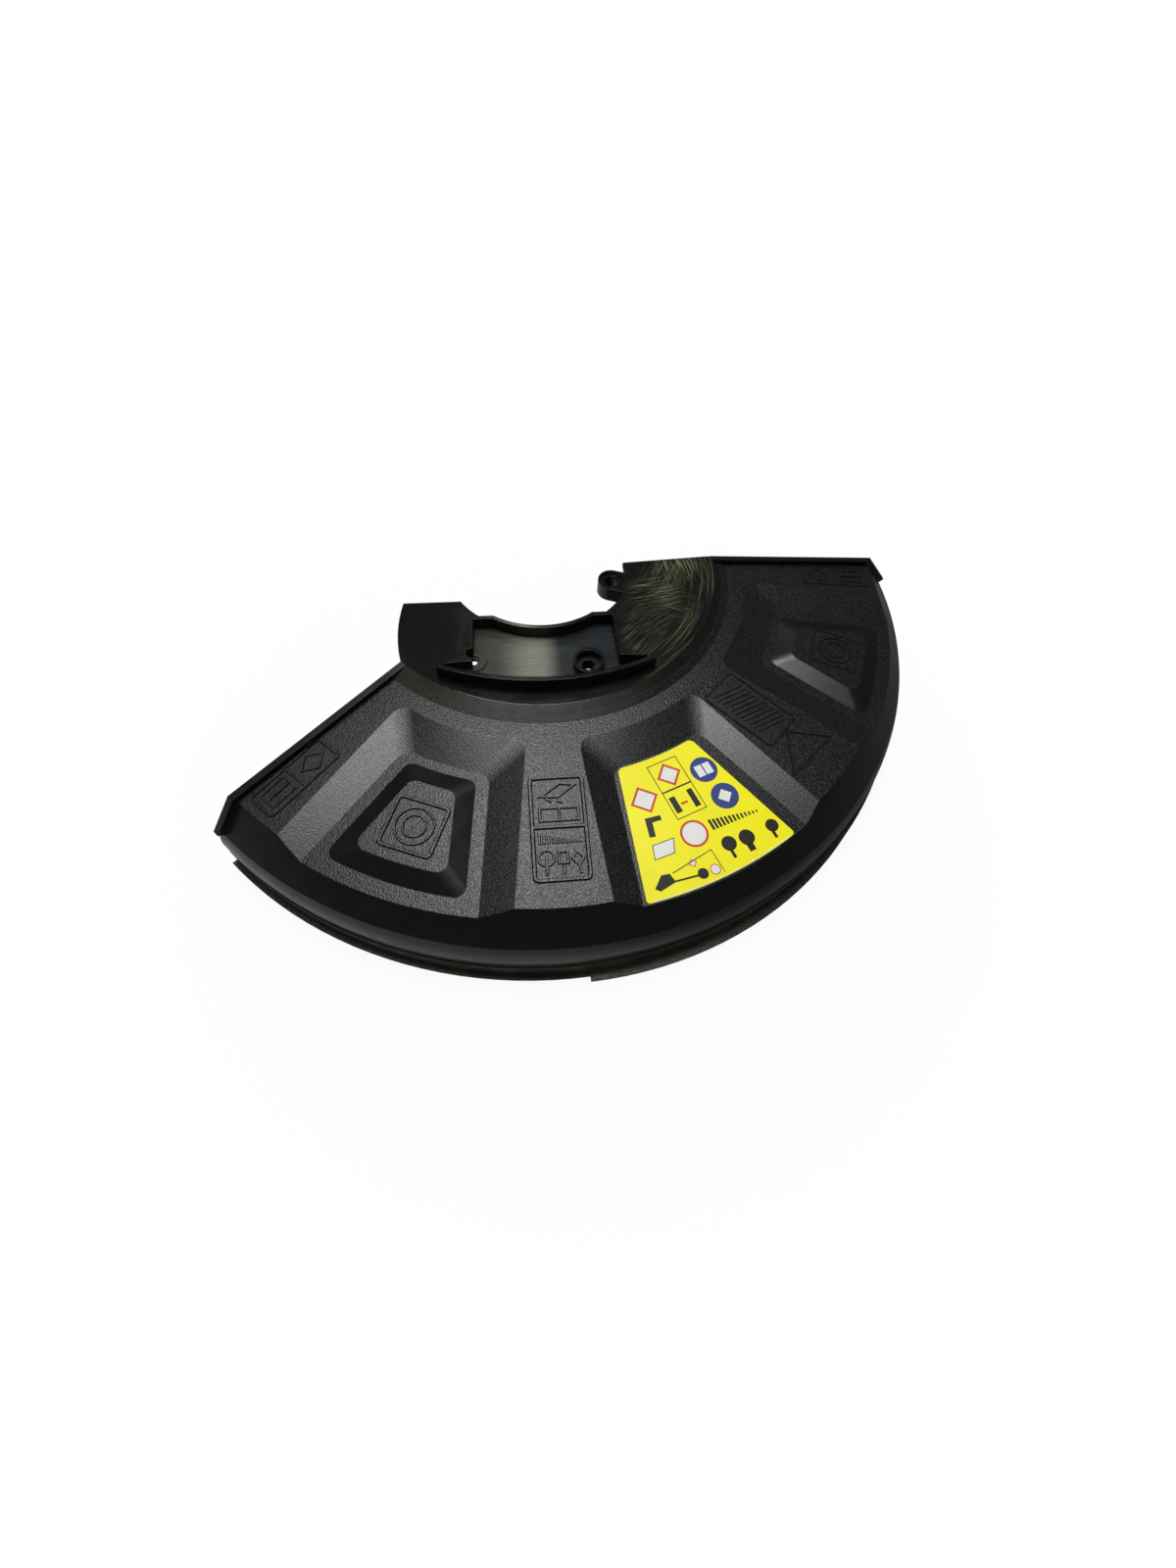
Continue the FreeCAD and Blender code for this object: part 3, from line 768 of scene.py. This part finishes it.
def ridge(verts, faces, tree, place, path, closed, width, rise):
    """Adds a raised line with sloped sides, whose foot is sunk a little into the face below it."""
    points = divided(path, closed, LINE_RUN)
    sides = mitres(points, closed)
    start = len(verts)
    for (u, v), (su, sv) in zip(points, sides):
        for across, up in LINE_SECTION:
            x, y = place(u + su * across * width, v + sv * across * width)
            verts.append((x, y, height_at(tree, x, y) + up * rise))
    size = len(LINE_SECTION)
    count = len(points)
    for k in range(count if closed else count - 1):
        a = start + k * size
        b = start + ((k + 1) % count) * size
        for j in range(size):
            n = (j + 1) % size
            faces.append((a + j, b + j, b + n, a + n))
    if not closed:
        last = start + (count - 1) * size
        faces.append(tuple(start + j for j in range(size)))
        faces.append(tuple(last + j for j in reversed(range(size))))


def plate(verts, faces, tree, place, outline, low, high):
    """Adds a flat printed shape between two heights over the face below it."""
    start = len(verts)
    count = len(outline)
    for level in (low, high):
        for u, v in outline:
            x, y = place(u, v)
            verts.append((x, y, height_at(tree, x, y) + level))
    faces.append(tuple(start + count + k for k in range(count)))
    faces.append(tuple(start + k for k in reversed(range(count))))
    for k in range(count):
        n = (k + 1) % count
        faces.append((start + k, start + n, start + count + n, start + count + k))


def outline_band(verts, faces, tree, place, outline, width, low, high):
    """Adds a printed outline of even width inside a closed shape."""
    inner = [(u - su * width, v - sv * width) for (u, v), (su, sv) in zip(outline, mitres(outline, True))]
    middle = [sum(values) / len(outline) for values in zip(*outline)]
    if math.dist(inner[0], middle) > math.dist(outline[0], middle):
        inner = [(2 * u - p, 2 * v - q) for (u, v), (p, q) in zip(outline, inner)]
    start = len(verts)
    count = len(outline)
    for level in (low, high):
        for loop in (outline, inner):
            for u, v in loop:
                x, y = place(u, v)
                verts.append((x, y, height_at(tree, x, y) + level))
    for k in range(count):
        n = (k + 1) % count
        rings = [start + ring * count for ring in range(4)]
        faces.append((rings[2] + k, rings[2] + n, rings[3] + n, rings[3] + k))
        faces.append((rings[0] + n, rings[0] + k, rings[1] + k, rings[1] + n))
        faces.append((rings[0] + k, rings[0] + n, rings[2] + n, rings[2] + k))
        faces.append((rings[1] + n, rings[1] + k, rings[3] + k, rings[3] + n))


def add_piece(name, verts, faces, material):
    """Adds an object from a mesh, riding on the guard."""
    mesh = bpy.data.meshes.new(name)
    mesh.from_pydata(verts, [], faces)
    mesh.validate()
    mesh.materials.append(material)
    piece = bpy.data.objects.new(name, mesh)
    bpy.context.scene.collection.objects.link(piece)
    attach(piece, BODY)


# Moulded marks, in millimetres outwards and across: frames, then the lines inside them

def small_bars(u0, u1, v, count, pitch, taper):
    """Row of upright bars that get shorter by a taper from one to the next."""
    shortest = 0.6
    bars = []
    for k in range(count):
        length = max(u1 - u0 - k * taper, shortest)
        bars.append([(u1 - length, v + k * pitch), (u1, v + k * pitch)])
    return bars


def spoke_frame():
    """Tall frame in two fields: a slanted bar over a split panel, a row of bars over plain shapes."""
    frames = [rounded(125.5, 170.5, -11.0, 11.0), [(148.0, -11.0), (148.0, 11.0)]]
    slanted = [(134.2, -6.8), (128.4, 1.4), (129.4, 7.4), (134.6, 0.4)]
    lines = [slanted, [(135.2, -4.6), (136.8, -2.4)], [(136.4, -0.4), (137.2, 2.4)]]
    lines += [rectangle(139.6, 145.2, -7.6, 0.4), rectangle(139.6, 145.2, 0.4, 8.4)]
    lines += small_bars(151.0, 155.2, -8.4, 10, 1.85, 0.38)
    lines += [circle(161.2, -6.0, 3.2), [(161.4, -6.0), (168.2, -6.0)]]
    lines += [rectangle(158.8, 163.6, -1.0, 2.6), [(164.4, 0.8), (168.2, 0.8)]]
    lines += [[(158.8, 6.2), (162.0, 4.4), (165.0, 7.0), (161.6, 9.0)], [(164.6, 7.0), (168.2, 7.6)]]
    return frames, lines


def pad_frame(u0, u1, v0, v1):
    """Square frame with two rings inside one another."""
    u = (u0 + u1) / 2
    v = (v0 + v1) / 2
    return [rounded(u0, u1, v0, v1)], [circle(u, v, 8.0), circle(u, v, 4.8)]


def margin_frame():
    """Two square cells in a row, one with a diamond and one with a split panel."""
    diamond = [(144.4, 0.0), (150.2, -4.4), (156.0, 0.0), (150.2, 4.4)]
    frames = [rounded(141.0, 177.4, -6.6, 6.6), [(159.4, -6.6), (159.4, 6.6)]]
    return frames, [diamond, rectangle(162.6, 174.2, -4.0, 0.0), rectangle(162.6, 174.2, 0.0, 4.0)]


def long_frame():
    """Long frame filled with slanted strokes, beside a plain three-cornered outline."""
    frames = [rounded(113.0, 150.0, -10.5, 10.5), [(165.6, -15.2), (151.6, 1.6), (167.6, 13.6)]]
    lines = [[(115.8 + 2.6 * k, -7.6), (121.4 + 2.6 * k, 7.6)] for k in range(11)]
    return frames, lines


# Name, paths, angle and weight of line of each mark
MARKS = (
    ("spoke_mark_left", spoke_frame(), SECTOR_CENTRE - SPOKE_OFFSET, 1.0),
    ("spoke_mark_right", long_frame(), SECTOR_CENTRE + SPOKE_OFFSET, 0.7),
    ("pad_mark_left", pad_frame(143.6, 165.6, -11.0, 11.0), SECTOR_CENTRE - POCKET_PITCH, 0.95),
    ("pad_mark_right", pad_frame(144.7, 167.4, -8.0, 12.7), SECTOR_CENTRE + POCKET_PITCH, 0.7),
    ("margin_mark_left", margin_frame(), SECTOR_CENTRE - END_MARGIN_OFFSET, 0.75),
    ("margin_mark_right", margin_frame(), SECTOR_CENTRE + END_MARGIN_OFFSET, 0.6),
)


# Label print, in millimetres outwards and across

def diamond_at(u, v, half):
    """Square that stands on a corner, by its half diagonal."""
    return [(u - half, v), (u, v - half), (u + half, v), (u, v + half)]


def edge_strip():
    """Pale strip along the label's outer cut edge."""
    half_sweep = 10.4
    outer_radius = 184.4
    inner_radius = 183.95
    steps = 24
    sweep = [math.radians(-half_sweep + 2 * half_sweep * k / steps) for k in range(steps + 1)]
    outer = [(outer_radius * math.cos(a), outer_radius * math.sin(a)) for a in sweep]
    inner = [(inner_radius * math.cos(a), inner_radius * math.sin(a)) for a in reversed(sweep)]
    return outer + inner


def bar_row():
    """Row of upright bars that get shorter and narrower to the right."""
    count = 13
    pitch = 1.8
    bars = []
    for k in range(count):
        share = k / (count - 1)
        left = 4.7 + pitch * k
        bars.append(rectangle(160.2 + 4.6 * share, 165.1 + 0.9 * share, left, left + 1.2 - 0.5 * share))
    return bars


def label_shapes():
    """Printed shapes by ink: solid shapes, broad outlines, hairlines and the layer that they lie on."""
    box = [rectangle(127.3, 141.3, -6.8, 7.9), rectangle(141.3, 154.8, -6.8, 7.9)]
    plain = [diamond_at(134.4, 0.6, 5.9), diamond_at(140.6, -15.2, 6.6), diamond_at(173.9, -10.8, 1.9)]
    rounds = [circle(163.0, -3.5, 6.1), circle(180.2, -3.6, 2.3)]
    panel = [(160.2, -22.4), (160.9, -12.2), (167.1, -15.3), (166.4, -24.6)]
    halves = [rectangle(135.8, 141.4, 12.4, 15.8), rectangle(135.8, 141.4, 16.4, 19.8)]
    bent = [(148.4, -19.4), (149.6, -12.6), (151.8, -13.0), (151.2, -17.2), (157.4, -19.0), (156.8, -21.6)]
    block = [(173.0, -25.4), (173.8, -21.8), (178.0, -21.2), (178.8, -28.8), (177.0, -30.4)]
    rod = [(177.2, -21.6), (178.0, -21.6), (180.0, -10.8), (179.2, -10.8)]
    thin = [(174.0, -20.6), (171.9, -0.7), (183.0, -0.4), (183.0, -0.7), (172.3, -1.0), (174.4, -20.6)]
    pins = [circle(173.0, 7.6, 3.3), rectangle(175.6, 179.6, 6.2, 7.6)]
    pins += [circle(173.8, 16.0, 3.5), rectangle(176.6, 180.0, 14.0, 17.0)]
    pins += [circle(173.8, 29.0, 2.9), rectangle(176.0, 179.4, 27.2, 28.6)]
    uprights = [rectangle(144.4, 152.2, -5.4, -2.6), rectangle(144.0, 152.8, 3.6, 6.2)]
    solid_black = [bent, block, rod, thin, circle(179.6, -9.2, 2.3)] + pins + uprights + bar_row()
    return (
        ("edge", [edge_strip()], [], [], 0),
        ("white", plain + rounds + [panel], [], [], 0),
        ("blue", [circle(138.6, 16.1, 6.2), circle(153.4, 17.9, 6.2)], [], [], 0),
        ("black", solid_black, [], box + [panel], 1),
        ("red", [rectangle(148.4, 149.4, -1.6, 1.6)], plain[:2] + rounds[:1], plain[2:] + rounds[1:], 1),
        ("white", halves + [diamond_at(153.4, 17.9, 3.4)], [], [], 1),
    )


# Operators

class GUARD_OT_moulding(bpy.types.Operator):
    """Gives the moulding its grained, polished and satin black plastic"""
    bl_idname = "guard.moulding"
    bl_label = "Finish Moulding"

    def execute(self, context):
        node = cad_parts["guard_moulding"]
        node.data.materials.clear()
        node.data.materials.append(moulding_material(context.scene.guard_finish))
        return {"FINISHED"}


class GUARD_OT_marks(bpy.types.Operator):
    """Lays the moulded line frames on the spokes, the pads and the end margins"""
    bl_idname = "guard.marks"
    bl_label = "Add Moulded Marks"

    def execute(self, context):
        marks = context.scene.guard_marks
        material = line_material(context.scene.guard_finish)
        tree = surface("guard_moulding")
        for name, paths, angle, weight in MARKS:
            verts = []
            faces = []
            place = at_angle(angle)
            rise = marks.line_rise * weight
            for group, width in zip(paths, (marks.frame_width, marks.line_width)):
                for path in group:
                    ridge(verts, faces, tree, place, in_metres(path), len(path) > 2, width * weight, rise)
            add_piece(name, verts, faces, material)
        return {"FINISHED"}


class GUARD_OT_label(bpy.types.Operator):
    """Finishes the label film and prints its plain shapes"""
    bl_idname = "guard.label"
    bl_label = "Print Label"

    def execute(self, context):
        settings = context.scene.guard_label
        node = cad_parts["label_film"]
        node.data.materials.clear()
        node.data.materials.append(film_material("label_film", tuple(settings.film), *LABEL_LOOK))
        tree = surface("label_film")
        place = at_angle(LABEL_ANGLE)
        inks = {}
        for ink, solids, broad, fine, layer in label_shapes():
            if ink not in inks:
                colour = tuple(getattr(settings, ink))
                inks[ink] = film_material(f"label_{ink}_ink", colour, *INK_LOOK)
            verts = []
            faces = []
            low = -settings.ink
            high = (layer + 1) * settings.ink
            for outline in solids:
                plate(verts, faces, tree, place, in_metres(outline), low, high)
            for outlines, width in ((broad, settings.line), (fine, settings.hairline)):
                for outline in outlines:
                    outline_band(verts, faces, tree, place, in_metres(outline), width, low, high)
            add_piece(f"label_{ink}_{layer}", verts, faces, inks[ink])
        return {"FINISHED"}


def area_light(name, location, aim, width, depth, power, colour):
    """Rectangular soft light that points at a place."""
    data = bpy.data.lights.new(name, "AREA")
    data.shape = "RECTANGLE"
    data.size = width
    data.size_y = depth
    data.energy = power
    data.color = colour
    light = bpy.data.objects.new(name, data)
    light.location = location
    light.rotation_euler = (Vector(aim) - Vector(location)).to_track_quat("-Z", "Y").to_euler()
    bpy.context.scene.collection.objects.link(light)


def floor_material(colour):
    """Pale matt floor: white to the camera beyond the guard's shadow, dimmer to glossy plastic."""
    material, tree, shader, place = new_material("pale_floor")
    noise = tree.nodes.new("ShaderNodeTexNoise")
    noise.inputs["Scale"].default_value = 40.0
    tree.links.new(place, noise.inputs["Vector"])
    path = tree.nodes.new("ShaderNodeLightPath")
    paper = mix_colour(tree, noise.outputs["Fac"], colour, tuple(c * FIBRE_SHADE for c in colour))
    x, y = split(tree, place)[:2]
    dimming = mix_value(tree, ramp(tree, x, *REFLECTION_FADE), *REFLECTION_DIMMING)
    dim = product(tree, path.outputs["Is Glossy Ray"], dimming)
    tree.links.new(mix_colour(tree, dim, paper, REFLECTION_TINT), shader.inputs["Base Color"])
    shader.inputs["Roughness"].default_value = 0.9
    shader.inputs["Specular IOR Level"].default_value = 0.1
    glow = tree.nodes.new("ShaderNodeEmission")
    glow.inputs["Strength"].default_value = 1.0
    away = plan_length(tree, math_node(tree, "SUBTRACT", x, SHADOW_CENTRE[0]),
                       math_node(tree, "SUBTRACT", y, SHADOW_CENTRE[1]))
    reach = mix_value(tree, ramp(tree, away, *SHADOW_FADE), SHADOW_WHITE, 1.0)
    blend = tree.nodes.new("ShaderNodeMixShader")
    tree.links.new(product(tree, path.outputs["Is Camera Ray"], reach), blend.inputs["Fac"])
    tree.links.new(shader.outputs["BSDF"], blend.inputs[1])
    tree.links.new(glow.outputs["Emission"], blend.inputs[2])
    tree.links.new(blend.outputs["Shader"], tree.nodes["Material Output"].inputs["Surface"])
    return material


def room_world(level):
    """Soft light from all round that glossy plastic sees as a dim room and the camera as white."""
    world = bpy.data.worlds.new("studio")
    world.use_nodes = True
    tree = world.node_tree
    path = tree.nodes.new("ShaderNodeLightPath")
    glow = tree.nodes["Background"]
    glow.inputs["Color"].default_value = (1.0, 1.0, 1.0, 1.0)
    dim = mix_value(tree, path.outputs["Is Glossy Ray"], level, level * GLOSSY_ROOM)
    tree.links.new(mix_value(tree, path.outputs["Is Camera Ray"], dim, 1.0), glow.inputs["Strength"])
    return world


class GUARD_OT_stage(bpy.types.Operator):
    """Sets up the pale floor, the overhead softbox, the back panel and the camera"""
    bl_idname = "guard.stage"
    bl_label = "Set Stage"

    def execute(self, context):
        scene = context.scene
        stage = scene.guard_stage
        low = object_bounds()[0]
        mesh = bpy.data.meshes.new("floor")
        square = rectangle(-FLOOR_HALF, FLOOR_HALF, -FLOOR_HALF, FLOOR_HALF)
        mesh.from_pydata([(x, y, low[2]) for x, y in square], [], [(0, 1, 2, 3)])
        mesh.materials.append(floor_material(tuple(stage.floor)))
        floor = bpy.data.objects.new("floor", mesh)
        scene.collection.objects.link(floor)
        floor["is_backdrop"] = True

        area_light("softbox", SOFTBOX_PLACE, SOFTBOX_AIM, stage.softbox_width, stage.softbox_depth,
                   stage.softbox_power, SOFTBOX_COLOUR)
        area_light("back_panel", BACK_PLACE, BACK_AIM, *BACK_SIZE, stage.back_power, BACK_COLOUR)
        scene.world = room_world(stage.room)

        around = Matrix.Rotation(stage.azimuth, 3, "Z")
        back = around @ Vector((0.0, -math.cos(stage.elevation), math.sin(stage.elevation)))
        right = around @ Vector((1.0, 0.0, 0.0))
        up = back.cross(right)
        turn = Matrix.Rotation(stage.roll, 3, back)
        axes = Matrix((turn @ right, turn @ up, back)).transposed()
        data = bpy.data.cameras.new("camera")
        data.lens = stage.lens
        data.sensor_width = 36.0
        data.clip_start = 0.01
        camera = bpy.data.objects.new("camera", data)
        place = Vector(stage.target) + back * stage.distance
        camera.matrix_world = Matrix.Translation(place) @ axes.to_4x4()
        scene.collection.objects.link(camera)
        scene.camera = camera
        scene.view_settings.view_transform = "Standard"
        return {"FINISHED"}


class GUARD_PT_looks(bpy.types.Panel):
    """Lists the guard's looks"""
    bl_idname = "GUARD_PT_looks"
    bl_label = "Blade Guard"
    bl_space_type = "VIEW_3D"
    bl_region_type = "UI"
    bl_category = "Guard"

    def draw(self, context):
        for operator, group in STEPS:
            box = self.layout.box()
            box.operator(operator.bl_idname)
            settings = getattr(context.scene, group)
            for name in settings.bl_rna.properties.keys():
                if name not in ("rna_type", "name"):
                    box.prop(settings, name)


STEPS = (
    (GUARD_OT_moulding, "guard_finish"),
    (GUARD_OT_marks, "guard_marks"),
    (GUARD_OT_label, "guard_label"),
    (GUARD_OT_stage, "guard_stage"),
)
GROUPS = {
    "guard_finish": GuardFinish,
    "guard_marks": GuardMarks,
    "guard_label": LabelPrint,
    "guard_stage": GuardStage,
}
CLASSES = tuple(GROUPS.values()) + tuple(step[0] for step in STEPS) + (GUARD_PT_looks,)


def register():
    """Registers the classes and hangs their settings on the scene."""
    for cls in CLASSES:
        bpy.utils.register_class(cls)
    for name, group in GROUPS.items():
        setattr(bpy.types.Scene, name, PointerProperty(type=group))


def unregister():
    """Takes the settings and the classes away again."""
    for name in GROUPS:
        delattr(bpy.types.Scene, name)
    for cls in reversed(CLASSES):
        bpy.utils.unregister_class(cls)


def main():
    """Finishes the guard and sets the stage."""
    register()
    bpy.ops.guard.moulding()
    bpy.ops.guard.marks()
    bpy.ops.guard.label()
    bpy.ops.guard.stage()


if __name__ == "__main__":
    main()
